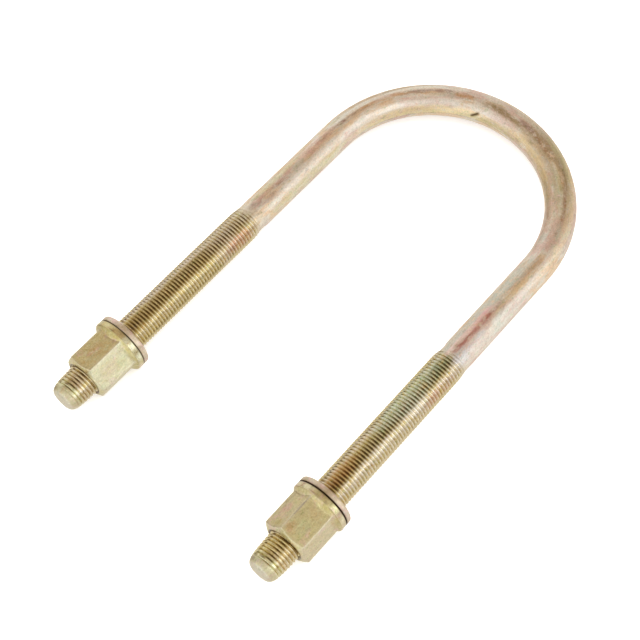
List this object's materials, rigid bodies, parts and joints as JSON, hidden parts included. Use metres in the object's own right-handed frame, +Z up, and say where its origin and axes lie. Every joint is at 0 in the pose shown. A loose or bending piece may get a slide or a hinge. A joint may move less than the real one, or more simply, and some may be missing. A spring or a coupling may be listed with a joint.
{
  "type": "u-bolt",
  "caption": "Round steel rod bent into a U, threaded at both ends, each leg with a deep collar nut and a flat washer, yellow zinc plated.",
  "frame": {"origin": "centre of the bend, on the centre line of the rod, which is where the axis of a tube seated in the bend lies", "axes": "+X from the left leg to the right leg, +Y from the tips towards the bend, +Z up, square to the plane of the U"},
  "size_m": [0.129, 0.226, 0.024],
  "materials": {
    "plated_rod": "yellow zinc plating, satin, with pink and green tints",
    "plated_nut": "yellow zinc plating, olive gold, worn bright on the edges",
    "plated_washer": "yellow zinc plating, satin, bright rim"
  },
  "bodies": {
    "rod": {"u_rod": "plated_rod"},
    "left_washer": {"left_washer": "plated_washer"},
    "left_nut": {"left_nut": "plated_nut"},
    "right_washer": {"right_washer": "plated_washer"},
    "right_nut": {"right_nut": "plated_nut"}
  },
  "joints": [
    {"name": "left_washer_travel", "type": "slide", "parent": "rod", "child": "left_washer", "axis": [0, 1, 0], "range_m": [-0.0391, 0.0751]},
    {"name": "left_nut_turn", "type": "hinge", "parent": "left_washer", "child": "left_nut", "pos_m": [-0.0525, -0.1306, 0], "axis": [0, 1, 0], "range_deg": [-9360, 18000]},
    {"name": "right_washer_travel", "type": "slide", "parent": "rod", "child": "right_washer", "axis": [0, 1, 0], "range_m": [-0.0406, 0.0766]},
    {"name": "right_nut_turn", "type": "hinge", "parent": "right_washer", "child": "right_nut", "pos_m": [0.0525, -0.1318, 0], "axis": [0, 1, 0], "range_deg": [-9720, 18360]}
  ],
  "couplings": [
    {"joint": "left_washer_travel", "follows": "left_nut_turn", "m_per_rad": 0.00023873},
    {"joint": "right_washer_travel", "follows": "right_nut_turn", "m_per_rad": 0.00023873}
  ]
}
